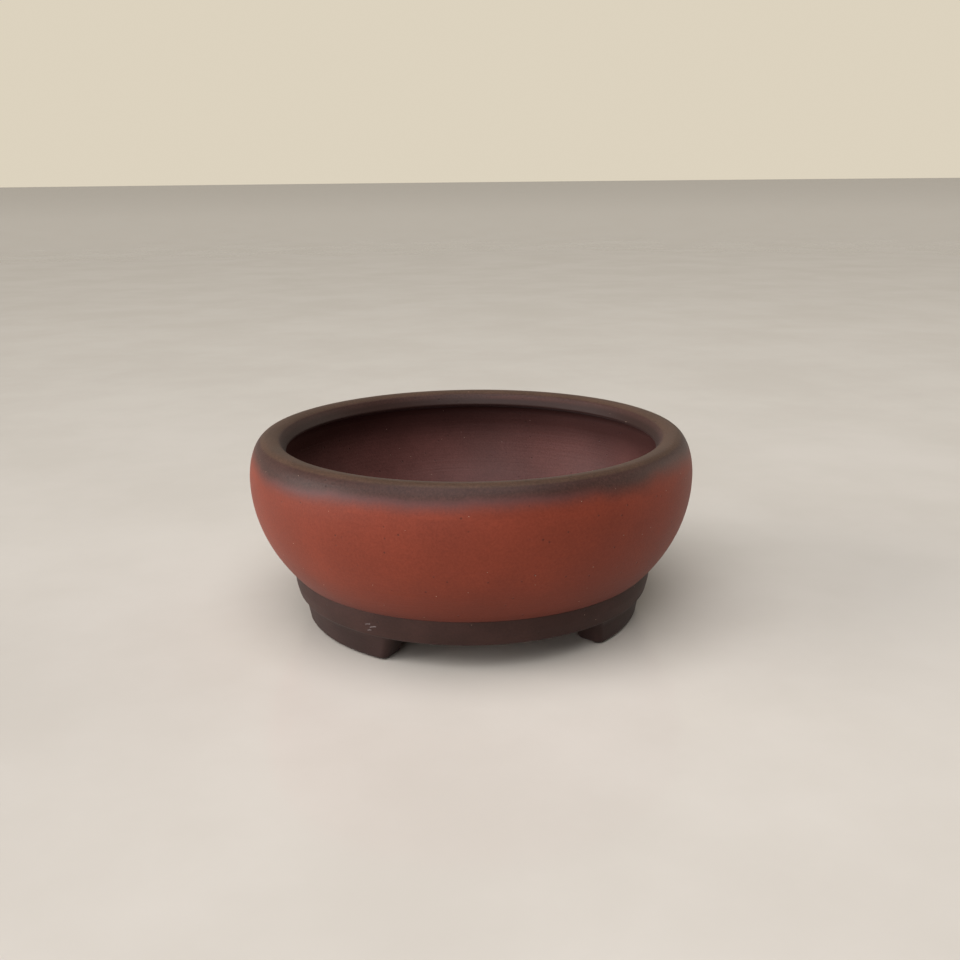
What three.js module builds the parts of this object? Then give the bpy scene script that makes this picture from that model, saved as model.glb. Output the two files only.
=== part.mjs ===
// Round bonsai pot in unglazed stoneware clay, as the potter puts it together: a turned belly wall, a
// rolled lip on its top edge, a drilled floor slab let into a base ring, and three feet under the ring.
// Millimetres, +Z up. The origin is on the table, on the pot's axis, so the feet stand on z = 0.
// One foot is at the back (+Y) and the other two are at the front left and the front right.
import * as THREE from "three";
import { mergeVertices } from "three/addons/utils/BufferGeometryUtils.js";

// ---- Driving dimensions ----
const BELLY_R = 75; // the widest radius of the whole pot
const BELLY_Z = 49.5; // height of the widest point
const BELLY_DROP = 49.3; // vertical semi-axis of the ellipse that the belly follows below that point
const HEIGHT = 63.1; // table to the crown of the lip
const WALL = 6.5; // clay thickness of the belly

const FOOT_H = 9.4; // table to the underside of the base ring
const RING_TOP_Z = 18; // top of the base ring, and the level of the inside floor
const RING_TOP_R = 62; // the belly meets the ring here
const RING_LOW_R = 60.6; // outer radius at the ring's lower edge
const RING_MIDDLE_R = 61.6; // outer radius half way down, so the ring is slightly full
const RING_INNER_R = 54; // the floor slab sits inside this radius
const RING_EDGE = 1.2; // rounding of the ring's lower edge

const LIP_JOINT_Z = 54; // the lip is luted to the wall at this height
const LIP_CROWN_R = 68.5; // radius of the highest circle of the lip
const LIP_MOUTH_R = 62.5; // the narrowest radius of the mouth
const LIP_ROLL_Z = 59.2; // height of the mouth's narrowest circle
const LIP_UNDER = 2.6; // how far the rolled edge turns back under itself

const FLOOR_T = 6.2; // thickness of the floor slab
const FLOOR_GAP = 0.3; // clay slip between the slab and the ring
const COVE_SHARE = 0.66; // the cove starts this share of the way down the inside of the belly
const COVE_RUN = 11.5; // how far the cove reaches in over the floor
const COVE_CORNER = 3.8; // how far in from its top the curve of the cove turns
const COVE_EDGE = 0.4; // thickness of the cove's feathered edge on the floor
const DRAIN_R = 10; // the drainage hole in the middle
const WIRE_HOLES = 4; // small holes for the wires that hold the tree
const WIRE_HOLE_R = 2.4;
const WIRE_CIRCLE_R = 33; // radius of the circle of wire holes

const FOOT_TOP_R = 59.6; // outer radius of a foot under the ring
const FOOT_LOW_R = 57.6; // outer radius of a foot on the table
const FOOT_INNER_R = 47.5;
const FOOT_TOP_HALF = THREE.MathUtils.degToRad(28); // half of a foot's spread at the top
const FOOT_LOW_HALF = THREE.MathUtils.degToRad(23.6); // half of its spread on the table
const FOOT_CORNER = 2.5; // rounding of a foot's upright corners
const FOOT_ANGLES = { foot_rear: 90, foot_front_left: 210, foot_front_right: 330 }; // degrees from +X

// ---- How finely the round shapes are cut ----
const AROUND = 60; // facets round the pot
const BELLY_STEPS = 9;
const INSIDE_STEPS = 7;
const COVE_STEPS = 4;
const SHOULDER_STEPS = 2;
const LIP_STEPS = 5;
const EDGE_STEPS = 3;
const HOLE_STEPS = 16; // facets to half a turn, on the slab and its holes
const FOOT_ARC_STEPS = 10;
const FOOT_STEPS = 3; // levels up a foot
const SAME_POINT = 1e-3; // vertices closer than this are one

// ---- Clay colours ----
const redClay = new THREE.MeshStandardMaterial({ color: 0x8a4432, roughness: 0.62, metalness: 0 });
const darkClay = new THREE.MeshStandardMaterial({ color: 0x5c463d, roughness: 0.58, metalness: 0 });
const baseClay = new THREE.MeshStandardMaterial({ color: 0x47342d, roughness: 0.66, metalness: 0 });

// Points of an elliptical arc about (cx, cy), from one angle to another, in the profile's (r, z) plane.
function arc(cx, cy, rx, ry, from, to, steps) {
  const points = [];
  for (let i = 0; i <= steps; i++) {
    const a = from + ((to - from) * i) / steps;
    points.push(new THREE.Vector2(cx + rx * Math.cos(a), cy + ry * Math.sin(a)));
  }
  return points;
}

// The belly below its widest point is part of an ellipse that passes through the top of the base ring.
const bellyEnd = Math.asin((BELLY_Z - RING_TOP_Z) / BELLY_DROP);
const bellyRx = (BELLY_R - RING_TOP_R) / (1 - Math.cos(bellyEnd));
const bellyCx = BELLY_R - bellyRx;

// The shoulder above the widest point is a quarter ellipse that ends at the crown of the lip.
const shoulderRx = BELLY_R - LIP_CROWN_R;
const shoulderRz = HEIGHT - BELLY_Z;
const jointAngle = Math.asin((LIP_JOINT_Z - BELLY_Z) / shoulderRz);
const jointOuterR = LIP_CROWN_R + shoulderRx * Math.cos(jointAngle);
const jointInnerR = jointOuterR - WALL;

// A closed profile (r, z), turned about the pot's axis.
function turned(profile) {
  const geometry = new THREE.LatheGeometry([...profile, profile[0]], AROUND);
  geometry.rotateX(Math.PI / 2); // the lathe turns about Y, and the pot's axis is Z
  return closed(geometry);
}

// Merges the vertices that a seam has doubled, so that the body is one closed surface.
function closed(geometry) {
  geometry.deleteAttribute("normal");
  geometry.deleteAttribute("uv");
  return mergeVertices(geometry, SAME_POINT);
}

// The inside of the belly runs parallel to the outside, and ends in a cove that feathers out on the floor.
function bellyWall() {
  const outside = arc(bellyCx, BELLY_Z, bellyRx, BELLY_DROP, -bellyEnd, 0, BELLY_STEPS);
  const shoulder = arc(LIP_CROWN_R, BELLY_Z, shoulderRx, shoulderRz, 0, jointAngle, SHOULDER_STEPS);
  const coveAngle = -bellyEnd * COVE_SHARE;
  const inside = arc(bellyCx, BELLY_Z, bellyRx - WALL, BELLY_DROP - WALL, 0, coveAngle, INSIDE_STEPS);
  const coveTop = inside.at(-1);
  const coveToe = new THREE.Vector2(coveTop.x - COVE_RUN, RING_TOP_Z + COVE_EDGE);
  const coveTurn = new THREE.Vector2(coveTop.x - COVE_CORNER, coveToe.y);
  const cove = new THREE.QuadraticBezierCurve(coveTop, coveTurn, coveToe).getPoints(COVE_STEPS);
  return turned([
    new THREE.Vector2(coveToe.x, RING_TOP_Z),
    ...outside,
    ...shoulder.slice(1),
    new THREE.Vector2(jointInnerR, LIP_JOINT_Z),
    ...inside,
    ...cove.slice(1),
  ]);
}

function rolledLip() {
  const shoulder = arc(LIP_CROWN_R, BELLY_Z, shoulderRx, shoulderRz, jointAngle, Math.PI / 2, LIP_STEPS);
  const rollRx = LIP_CROWN_R - LIP_MOUTH_R;
  const rollRz = HEIGHT - LIP_ROLL_Z;
  const roll = arc(LIP_CROWN_R, LIP_ROLL_Z, rollRx, rollRz, Math.PI / 2, Math.PI, LIP_STEPS);
  const underR = LIP_MOUTH_R + LIP_UNDER;
  const under = arc(underR, LIP_ROLL_Z, LIP_UNDER, LIP_UNDER, Math.PI, Math.PI * 1.5, EDGE_STEPS);
  const innerJoint = new THREE.Vector2(jointInnerR, LIP_JOINT_Z);
  return turned([...shoulder, ...roll.slice(1), ...under.slice(1), innerJoint]);
}

function baseRing() {
  const edgeR = RING_LOW_R - RING_EDGE;
  const lowEdge = arc(edgeR, FOOT_H + RING_EDGE, RING_EDGE, RING_EDGE, -Math.PI / 2, 0, EDGE_STEPS);
  return turned([
    new THREE.Vector2(RING_INNER_R, FOOT_H),
    ...lowEdge,
    new THREE.Vector2(RING_MIDDLE_R, (FOOT_H + RING_TOP_Z) / 2),
    new THREE.Vector2(RING_TOP_R, RING_TOP_Z),
    new THREE.Vector2(RING_INNER_R, RING_TOP_Z),
  ]);
}

// A round hole in the slab's outline.
function hole(x, y, r) {
  return new THREE.Path().absarc(x, y, r, 0, Math.PI * 2);
}

function floorSlab() {
  const disc = new THREE.Shape().absarc(0, 0, RING_INNER_R - FLOOR_GAP, 0, Math.PI * 2);
  disc.holes.push(hole(0, 0, DRAIN_R));
  for (let i = 0; i < WIRE_HOLES; i++) {
    const a = (Math.PI * 2 * (i + 0.5)) / WIRE_HOLES;
    disc.holes.push(hole(WIRE_CIRCLE_R * Math.cos(a), WIRE_CIRCLE_R * Math.sin(a), WIRE_HOLE_R));
  }
  const geometry = new THREE.ExtrudeGeometry(disc, {
    depth: FLOOR_T, curveSegments: HOLE_STEPS, bevelEnabled: false,
  });
  geometry.translate(0, 0, RING_TOP_Z - FLOOR_T);
  return closed(geometry);
}

// A foot is a piece of ring, cut as an outline with rounded corners. Each level of its height is drawn in
// towards the foot's middle, so that its face leans back and its ends slope.
function foot(middle) {
  const outline = new THREE.Shape();
  const inset = FOOT_CORNER / FOOT_TOP_R;
  const at = (r, a) => [r * Math.cos(a), r * Math.sin(a)];
  outline.moveTo(...at(FOOT_INNER_R, -FOOT_TOP_HALF));
  outline.lineTo(...at(FOOT_TOP_R - FOOT_CORNER, -FOOT_TOP_HALF));
  outline.quadraticCurveTo(...at(FOOT_TOP_R, -FOOT_TOP_HALF), ...at(FOOT_TOP_R, -FOOT_TOP_HALF + inset));
  outline.absarc(0, 0, FOOT_TOP_R, -FOOT_TOP_HALF + inset, FOOT_TOP_HALF - inset);
  outline.quadraticCurveTo(...at(FOOT_TOP_R, FOOT_TOP_HALF), ...at(FOOT_TOP_R - FOOT_CORNER, FOOT_TOP_HALF));
  outline.lineTo(...at(FOOT_INNER_R, FOOT_TOP_HALF));
  outline.absarc(0, 0, FOOT_INNER_R, FOOT_TOP_HALF, -FOOT_TOP_HALF, true);
  const geometry = new THREE.ExtrudeGeometry(outline, {
    depth: FOOT_H, steps: FOOT_STEPS, curveSegments: FOOT_ARC_STEPS, bevelEnabled: false,
  });
  const position = geometry.getAttribute("position");
  for (let i = 0; i < position.count; i++) {
    const low = 1 - position.getZ(i) / FOOT_H; // 0 under the ring, 1 on the table
    const r = Math.hypot(position.getX(i), position.getY(i));
    const a = Math.atan2(position.getY(i), position.getX(i));
    const outward = (r - FOOT_INNER_R) / (FOOT_TOP_R - FOOT_INNER_R);
    const leaned = r - (FOOT_TOP_R - FOOT_LOW_R) * low * outward;
    const drawnIn = a * (1 + (FOOT_LOW_HALF / FOOT_TOP_HALF - 1) * low);
    position.setX(i, leaned * Math.cos(drawnIn));
    position.setY(i, leaned * Math.sin(drawnIn));
  }
  geometry.rotateZ(THREE.MathUtils.degToRad(middle));
  return closed(geometry);
}

const pot = new THREE.Group();

function add(name, geometry, material) {
  const mesh = new THREE.Mesh(geometry, material);
  mesh.name = name;
  pot.add(mesh);
}

add("belly_wall", bellyWall(), redClay);
add("rolled_lip", rolledLip(), darkClay);
add("floor_slab", floorSlab(), redClay);
add("base_ring", baseRing(), baseClay);
for (const [name, middle] of Object.entries(FOOT_ANGLES)) {
  add(name, foot(middle), baseClay);
}

export default pot;
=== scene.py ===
"""Round bonsai pot in unglazed, smoke-fired stoneware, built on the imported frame.

Each clay piece has its own operator: the turned wall, the rolled lip, the base ring, the drilled floor,
the three feet and the sand grains in the clay. One more sets up the stage. All lengths are in metres."""

import math

import bmesh
import bpy
from mathutils import Matrix, Vector
from mathutils.geometry import delaunay_2d_cdt


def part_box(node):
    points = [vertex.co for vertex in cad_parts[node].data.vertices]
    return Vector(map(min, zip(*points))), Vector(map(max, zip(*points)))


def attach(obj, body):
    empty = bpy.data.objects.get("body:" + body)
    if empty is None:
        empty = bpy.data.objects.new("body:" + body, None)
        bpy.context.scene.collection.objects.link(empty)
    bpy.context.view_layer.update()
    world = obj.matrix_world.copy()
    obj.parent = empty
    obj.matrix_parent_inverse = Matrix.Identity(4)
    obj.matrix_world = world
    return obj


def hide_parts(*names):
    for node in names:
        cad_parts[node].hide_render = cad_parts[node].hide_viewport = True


bl_info = {
    "name": "Bonsai Pot",
    "version": (1, 0, 0),
    "blender": (4, 5, 0),
    "location": "View3D > Sidebar > Bonsai Pot",
    "description": "Builds a round, footed bonsai pot in unglazed clay",
    "category": "Add Mesh",
}

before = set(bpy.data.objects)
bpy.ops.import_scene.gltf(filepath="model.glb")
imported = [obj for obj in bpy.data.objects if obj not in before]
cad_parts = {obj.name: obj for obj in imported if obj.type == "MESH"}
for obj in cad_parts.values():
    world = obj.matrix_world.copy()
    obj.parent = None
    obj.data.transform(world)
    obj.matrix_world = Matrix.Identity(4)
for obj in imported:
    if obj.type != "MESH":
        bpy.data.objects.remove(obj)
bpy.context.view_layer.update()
BODY = "root"
MM = 0.001

# ---- Places that the frame settles ----
wall_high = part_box("belly_wall")[1]
lip_low, lip_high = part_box("rolled_lip")
ring_low, ring_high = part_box("base_ring")
slab_low, slab_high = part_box("floor_slab")
foot_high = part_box("foot_rear")[1]

BELLY_R = wall_high.x
RING_R = ring_high.x
SLAB_R = slab_high.x
RIM_Z = lip_high.z
LIP_JOINT_Z = lip_low.z
RING_TOP_Z = ring_high.z
RING_LOW_Z = ring_low.z
SLAB_LOW_Z = slab_low.z
FOOT_TOP_Z = foot_high.z
FOOT_TURNS = {"foot_rear": 90, "foot_front_left": 210, "foot_front_right": 330}  # degrees from +X

FOOT_TENON = 0.9 * MM  # how far a foot is pressed up into the ring

# ---- How finely the clay is cut ----
FACETS = 288
FINE_STEP = 0.5 * MM
INSIDE_STEP = 0.4 * MM
HIDDEN_STEP = 2 * MM
ARC_STEP = math.radians(9)
SHARP_EDGE = math.radians(38)

# ---- Where the clay changes colour, and where painted shade and painted light lie on it. A pair runs from no share of the new colour to all of it ----
SMOKE_LEVEL = RIM_Z - 5.3 * MM  # height of the smoke's lower edge round the outside
SOOT_TO_LIT_TOP = (RIM_Z - 1.1 * MM, RIM_Z - 0.5 * MM)  # heights; the top is lighter than the soot, partly in its smoke colour and partly as painted skylight on the upward-facing top
SKY_SHEEN_TOP = RIM_Z - 3.6 * MM  # height below which the painted sky reflection lies
SKY_SHEEN_TURN = math.radians(-24)  # the painted sky reflection lies on this side, round from the pot's front
MOUTH_SOOT_AND_SHADE_RUN = (64.4 * MM, 63.4 * MM)  # radii over which the mouth's face turns to soot, darkened further with painted shade
UNDERCUT_SHADE_RUN = (RIM_Z - 4.5 * MM, RIM_Z - 5.7 * MM)  # heights of the painted shade under the lip's undercut
UNDERCUT_SHADE_REACH = (70 * MM, 69 * MM)  # radii of the painted shade under the lip's undercut
UNDER_LIP_SHADE_RUN = (40 * MM, 52 * MM)  # heights on the inside of the wall where painted shade darkens it under the lip
LOW_SHADE_HEIGHT = 18 * MM  # how far up the belly, from the ring, painted shade darkens it


# ---------------------------------------------------------------- settings

class PotShape(bpy.types.PropertyGroup):
    """Sizes of the pot that the frame leaves open."""

    belly_z: bpy.props.FloatProperty(
        name="Belly Height", description="Height of the widest point", default=49.5 * MM, unit="LENGTH")
    belly_drop: bpy.props.FloatProperty(
        name="Belly Drop", description="Vertical half axis of the belly's curve", default=49.3 * MM,
        unit="LENGTH")
    wall: bpy.props.FloatProperty(
        name="Wall", description="Clay thickness of the belly", default=6.5 * MM, unit="LENGTH")
    crown_r: bpy.props.FloatProperty(
        name="Crown Radius", description="Radius of the lip's highest circle", default=68.8 * MM,
        unit="LENGTH")
    mouth_r: bpy.props.FloatProperty(
        name="Mouth Radius", description="Narrowest radius of the mouth", default=62.4 * MM, unit="LENGTH")
    cove: bpy.props.FloatProperty(
        name="Cove", description="How far the cove reaches in over the floor", default=11.5 * MM,
        unit="LENGTH")
    drain_r: bpy.props.FloatProperty(
        name="Drain Hole", description="Radius of the drainage hole", default=10 * MM, unit="LENGTH")
    wire_r: bpy.props.FloatProperty(
        name="Wire Hole", description="Radius of the holes for tie wires", default=2.4 * MM, unit="LENGTH")
    wire_circle: bpy.props.FloatProperty(
        name="Wire Circle", description="Radius of the circle of wire holes", default=33 * MM, unit="LENGTH")
    foot_depth: bpy.props.FloatProperty(
        name="Foot Depth", description="Thickness of a foot, from outside to inside", default=12 * MM,
        unit="LENGTH")
    foot_corner: bpy.props.FloatProperty(
        name="Foot Corner", description="Rounding of a foot's upright corners", default=3.2 * MM,
        unit="LENGTH")
    foot_edge: bpy.props.FloatProperty(
        name="Foot Edge", description="Rounding of a foot's bottom edge", default=1.5 * MM, unit="LENGTH")


class PotFinish(bpy.types.PropertyGroup):
    """Colours of the fired clay, how the kiln's smoke lies on it, and a painted sky reflection on the lip."""

    red: bpy.props.FloatVectorProperty(
        name="Red Clay", description="Colour of the belly", subtype="COLOR", size=3,
        default=(0.158, 0.0300, 0.0158))
    red_bright: bpy.props.FloatVectorProperty(
        name="Bright Clay", description="Colour of the belly where the fire was hottest", subtype="COLOR",
        size=3, default=(0.182, 0.0340, 0.0175))
    wine: bpy.props.FloatVectorProperty(
        name="Inside Clay", description="Colour of the inside of the wall", subtype="COLOR", size=3,
        default=(0.092, 0.0345, 0.030))
    # The smoke on the lip's top is lighter partly as painted skylight on the upward-facing top.
    smoke: bpy.props.FloatVectorProperty(
        name="Smoke", description="Colour of the smoke on top of the lip", subtype="COLOR", size=3,
        default=(0.059, 0.0315, 0.0208))
    soot: bpy.props.FloatVectorProperty(
        name="Soot", description="Colour of the heavier smoke round the outside and in the mouth",
        subtype="COLOR", size=3, default=(0.040, 0.0182, 0.0148))
    # A painted sky reflection: a bluish sheen on one side of the lip, drawn into the colour.
    sky_sheen: bpy.props.FloatVectorProperty(
        name="Painted Sky Sheen", description="Colour of the bluish smoke along the edge of the soot",
        subtype="COLOR", size=3, default=(0.062, 0.038, 0.040))
    dark: bpy.props.FloatVectorProperty(
        name="Dark Clay", description="Colour of the base ring and feet", subtype="COLOR", size=3,
        default=(0.036, 0.0165, 0.0135))
    sand: bpy.props.FloatVectorProperty(
        name="Sand", description="Colour of the pale grains in the clay", subtype="COLOR", size=3,
        default=(0.42, 0.29, 0.22))


# ---------------------------------------------------------------- node helpers

class Nodes:
    """Adds nodes to a tree. An input is given as a number, a colour or another node's output."""

    def __init__(self, tree):
        self.tree = tree

    def add(self, kind, inputs=None, **settings):
        node = self.tree.nodes.new(kind)
        for name, value in settings.items():
            setattr(node, name, value)
        for key, value in (inputs or {}).items():
            self.feed(node.inputs[key], value)
        return node

    def feed(self, socket, value):
        if isinstance(value, bpy.types.NodeSocket):
            self.tree.links.new(value, socket)
        else:
            socket.default_value = value

    def math(self, operation, *values, clamp=False):
        node = self.add("ShaderNodeMath", dict(enumerate(values)), operation=operation, use_clamp=clamp)
        return node.outputs[0]

    def vector(self, operation, *values):
        node = self.add("ShaderNodeVectorMath", dict(enumerate(values)), operation=operation)
        gives_number = operation in ("LENGTH", "DOT_PRODUCT", "DISTANCE")
        return node.outputs["Value" if gives_number else "Vector"]

    def xyz(self, x=0.0, y=0.0, z=0.0):
        return self.add("ShaderNodeCombineXYZ", {0: x, 1: y, 2: z}).outputs[0]

    def parts(self, vector):
        return self.add("ShaderNodeSeparateXYZ", {0: vector}).outputs

    def noise(self, vector, scale, detail=2.0, rough=0.5):
        inputs = {"Vector": vector, "Scale": scale, "Detail": detail, "Roughness": rough}
        return self.add("ShaderNodeTexNoise", inputs).outputs["Fac"]

    def ease(self, value, low, high):
        """0 below low and 1 above high, with a smooth run between them. low may be the larger."""
        inputs = {"Value": value, "From Min": low, "From Max": high}
        return self.add("ShaderNodeMapRange", inputs, interpolation_type="SMOOTHSTEP").outputs[0]

    def scaled(self, vector, factor):
        node = self.add("ShaderNodeVectorMath", {0: vector, "Scale": factor}, operation="SCALE")
        return node.outputs[0]

    def blend(self, share, a, b, mode="MIX"):
        node = self.add("ShaderNodeMix", data_type="RGBA", blend_type=mode)
        for socket, value in zip((node.inputs[0], node.inputs[6], node.inputs[7]), (share, a, b)):
            self.feed(socket, value)
        return node.outputs[2]


def new_group(name, kind, inputs, outputs):
    """A node group with named sockets: inputs as (name, socket type, default), outputs as (name, type)."""
    tree = bpy.data.node_groups.new(name, kind)
    for label, socket_type, default in inputs:
        socket = tree.interface.new_socket(name=label, in_out="INPUT", socket_type=socket_type)
        if default is not None:
            socket.default_value = default
    for label, socket_type in outputs:
        tree.interface.new_socket(name=label, in_out="OUTPUT", socket_type=socket_type)
    nodes = Nodes(tree)
    return nodes, nodes.add("NodeGroupInput").outputs, nodes.add("NodeGroupOutput").inputs


def place_group(nodes, name, inputs):
    node = nodes.add("ShaderNodeGroup", node_tree=bpy.data.node_groups[name])
    for key, value in inputs.items():
        nodes.feed(node.inputs[key], value)
    return node.outputs


def rgba(colour, shade=1.0):
    """A colour setting as a socket takes it, made darker or lighter by the shade."""
    return (*(part * shade for part in colour), 1.0)


# ---------------------------------------------------------------- shapes from Geometry Nodes

def turned_clay_tree():
    """Turns a closed outline, a ring of points in the XZ plane, about Z, with the waves of handwork."""
    nodes, given, out = new_group(
        "Turned Clay", "GeometryNodeTree",
        [("Outline", "NodeSocketGeometry", None), ("Facets", "NodeSocketInt", FACETS),
         ("Waviness", "NodeSocketFloat", 0.25 * MM), ("Turning Depth", "NodeSocketFloat", 0.05 * MM),
         ("Turning Spacing", "NodeSocketFloat", 1.6 * MM), ("Level From", "NodeSocketFloat", RING_TOP_Z),
         ("Level To", "NodeSocketFloat", RIM_Z), ("Material", "NodeSocketMaterial", None)],
        [("Geometry", "NodeSocketGeometry")])
    count = nodes.add("GeometryNodeAttributeDomainSize", {0: given["Outline"]}).outputs["Point Count"]
    across = nodes.math("ADD", count, 1)
    around = nodes.math("ADD", given["Facets"], 1)
    grid = nodes.add("GeometryNodeMeshGrid", {"Vertices X": across, "Vertices Y": around})
    index = nodes.add("GeometryNodeInputIndex").outputs[0]
    column = nodes.math("FLOOR", nodes.math("DIVIDE", nodes.math("ADD", index, 0.5), around))
    row = nodes.math("SUBTRACT", index, nodes.math("MULTIPLY", column, around))
    place = nodes.add("GeometryNodeInputPosition").outputs[0]
    sample = nodes.add("GeometryNodeSampleIndex", data_type="FLOAT_VECTOR", domain="POINT")
    nodes.feed(sample.inputs["Geometry"], given["Outline"])
    nodes.feed(sample.inputs["Value"], place)
    nodes.feed(sample.inputs["Index"], nodes.math("MODULO", column, count))
    radius, _, height = nodes.parts(sample.outputs[0])
    turn = nodes.math("DIVIDE", nodes.math("MULTIPLY", row, math.tau), given["Facets"])
    cosine = nodes.math("COSINE", turn)
    sine = nodes.math("SINE", turn)

    level = nodes.ease(height, given["Level From"], given["Level To"])
    slow = nodes.noise(nodes.xyz(cosine, sine, nodes.math("MULTIPLY", height, 9)), 1.1)
    sway = nodes.math("MULTIPLY", nodes.math("SUBTRACT", slow, 0.5), given["Waviness"])
    lines = nodes.math("DIVIDE", height, given["Turning Spacing"])
    fine = nodes.noise(nodes.xyz(cosine, sine, lines), 0.9, detail=1.0)
    cut = nodes.math("MULTIPLY", nodes.math("SUBTRACT", fine, 0.5), given["Turning Depth"])
    swayed = nodes.math("MULTIPLY", sway, level)
    new_radius = nodes.math("ADD", radius, nodes.math("ADD", swayed, cut))
    tilt = nodes.noise(nodes.xyz(cosine, sine, 4.0), 0.8)
    lift = nodes.math("MULTIPLY", nodes.math("SUBTRACT", tilt, 0.5), given["Waviness"])
    new_height = nodes.math("ADD", height, nodes.math("MULTIPLY", lift, level))
    target = nodes.xyz(
        nodes.math("MULTIPLY", new_radius, cosine), nodes.math("MULTIPLY", new_radius, sine), new_height)
    moved = nodes.add("GeometryNodeSetPosition", {"Geometry": grid.outputs[0], "Position": target})
    merged = nodes.add("GeometryNodeMergeByDistance", {"Geometry": moved.outputs[0], "Distance": 1e-6})
    finish_tree(nodes, merged.outputs[0], given, out)


def foot_tree():
    """A foot: a block with rounded corners and bottom edge, bent round the pot's axis and leaning in."""
    nodes, given, out = new_group(
        "Clay Foot", "GeometryNodeTree",
        [("Turn", "NodeSocketFloat", 0.0), ("Half Spread", "NodeSocketFloat", math.radians(27.5)),
         ("Low Share", "NodeSocketFloat", 0.84), ("Outer Radius", "NodeSocketFloat", 59.6 * MM),
         ("Lean", "NodeSocketFloat", 2.1 * MM), ("Lean Power", "NodeSocketFloat", 1.45),
         ("Flare", "NodeSocketFloat", 0.9 * MM), ("Flare From", "NodeSocketFloat", 0.70),
         ("Depth", "NodeSocketFloat", 12 * MM), ("Height", "NodeSocketFloat", FOOT_TOP_Z + FOOT_TENON),
         ("Corner", "NodeSocketFloat", 3 * MM), ("Bottom Edge", "NodeSocketFloat", 1.5 * MM),
         ("Handwork", "NodeSocketFloat", 0.2 * MM), ("Material", "NodeSocketMaterial", None)],
        [("Geometry", "NodeSocketGeometry")])
    block = nodes.add(
        "GeometryNodeMeshCube",
        {"Size": (2.0, 2.0, 2.0), "Vertices X": 132, "Vertices Y": 30, "Vertices Z": 26})
    unit = nodes.add("GeometryNodeInputPosition").outputs[0]
    half_length = nodes.math("MULTIPLY", given["Outer Radius"], given["Half Spread"])
    half_depth = nodes.math("MULTIPLY", given["Depth"], 0.5)
    half_height = nodes.math("MULTIPLY", given["Height"], 0.5)
    rounding = nodes.xyz(given["Corner"], given["Corner"], given["Bottom Edge"])
    # The block in units of its own rounding, so that one unit is the radius on every side.
    reach = nodes.vector("DIVIDE", nodes.xyz(half_length, half_depth, half_height), rounding)
    point = nodes.vector("MULTIPLY", unit, reach)
    core_low = nodes.vector("MULTIPLY", nodes.vector("SUBTRACT", reach, (1.0, 1.0, 1.0)), (-1.0, -1.0, -1.0))
    core_high = nodes.vector("SUBTRACT", reach, (1.0, 1.0, 0.0))
    core = nodes.vector("MINIMUM", nodes.vector("MAXIMUM", point, core_low), core_high)
    outward = nodes.vector("SUBTRACT", point, core)
    x, y, z = nodes.parts(nodes.vector("ABSOLUTE", outward))
    largest = nodes.math("MAXIMUM", nodes.math("MAXIMUM", x, y), z)
    length = nodes.math("MAXIMUM", nodes.vector("LENGTH", outward), 1e-6)
    pulled = nodes.scaled(outward, nodes.math("DIVIDE", largest, length))
    rounded = nodes.vector("MULTIPLY", nodes.vector("ADD", core, pulled), rounding)

    along, deep, up = nodes.parts(rounded)
    rise = nodes.math("ADD", nodes.math("DIVIDE", up, given["Height"]), 0.5, clamp=True)
    spread = nodes.math("ADD", given["Low Share"], nodes.math(
        "MULTIPLY", nodes.math("SUBTRACT", 1.0, given["Low Share"]), rise))
    turn = nodes.math("MULTIPLY", nodes.math("DIVIDE", along, given["Outer Radius"]), spread)
    outwardness = nodes.math("ADD", nodes.math("DIVIDE", deep, given["Depth"]), 0.5)
    leaning = nodes.math("SUBTRACT", 1.0, nodes.math("POWER", rise, given["Lean Power"]))
    lean = nodes.math("MULTIPLY", nodes.math("MULTIPLY", given["Lean"], leaning), outwardness)
    from_outside = nodes.math("MULTIPLY", given["Depth"], nodes.math("SUBTRACT", 1.0, outwardness))
    radius = nodes.math(
        "SUBTRACT", nodes.math("SUBTRACT", given["Outer Radius"], from_outside), lean)
    top_share = nodes.add("ShaderNodeMapRange", {"Value": rise, "From Min": given["Flare From"]}).outputs[0]
    flare = nodes.math(
        "MULTIPLY", nodes.math("MULTIPLY", given["Flare"], outwardness), nodes.math("POWER", top_share, 2.0))
    radius = nodes.math("ADD", radius, flare)
    whole_turn = nodes.math("ADD", given["Turn"], turn)
    level = nodes.math("ADD", up, half_height)
    rough = nodes.noise(nodes.xyz(nodes.math("MULTIPLY", whole_turn, 4), deep, level), 1.7)
    press = nodes.math("MULTIPLY", nodes.math("SUBTRACT", rough, 0.5), given["Handwork"])
    pressed = nodes.math("ADD", radius, nodes.math("MULTIPLY", press, outwardness))
    target = nodes.xyz(
        nodes.math("MULTIPLY", pressed, nodes.math("COSINE", whole_turn)),
        nodes.math("MULTIPLY", pressed, nodes.math("SINE", whole_turn)), level)
    moved = nodes.add("GeometryNodeSetPosition", {"Geometry": block.outputs[0], "Position": target})
    merged = nodes.add("GeometryNodeMergeByDistance", {"Geometry": moved.outputs[0], "Distance": 1e-7})
    finish_tree(nodes, merged.outputs[0], given, out)


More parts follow.
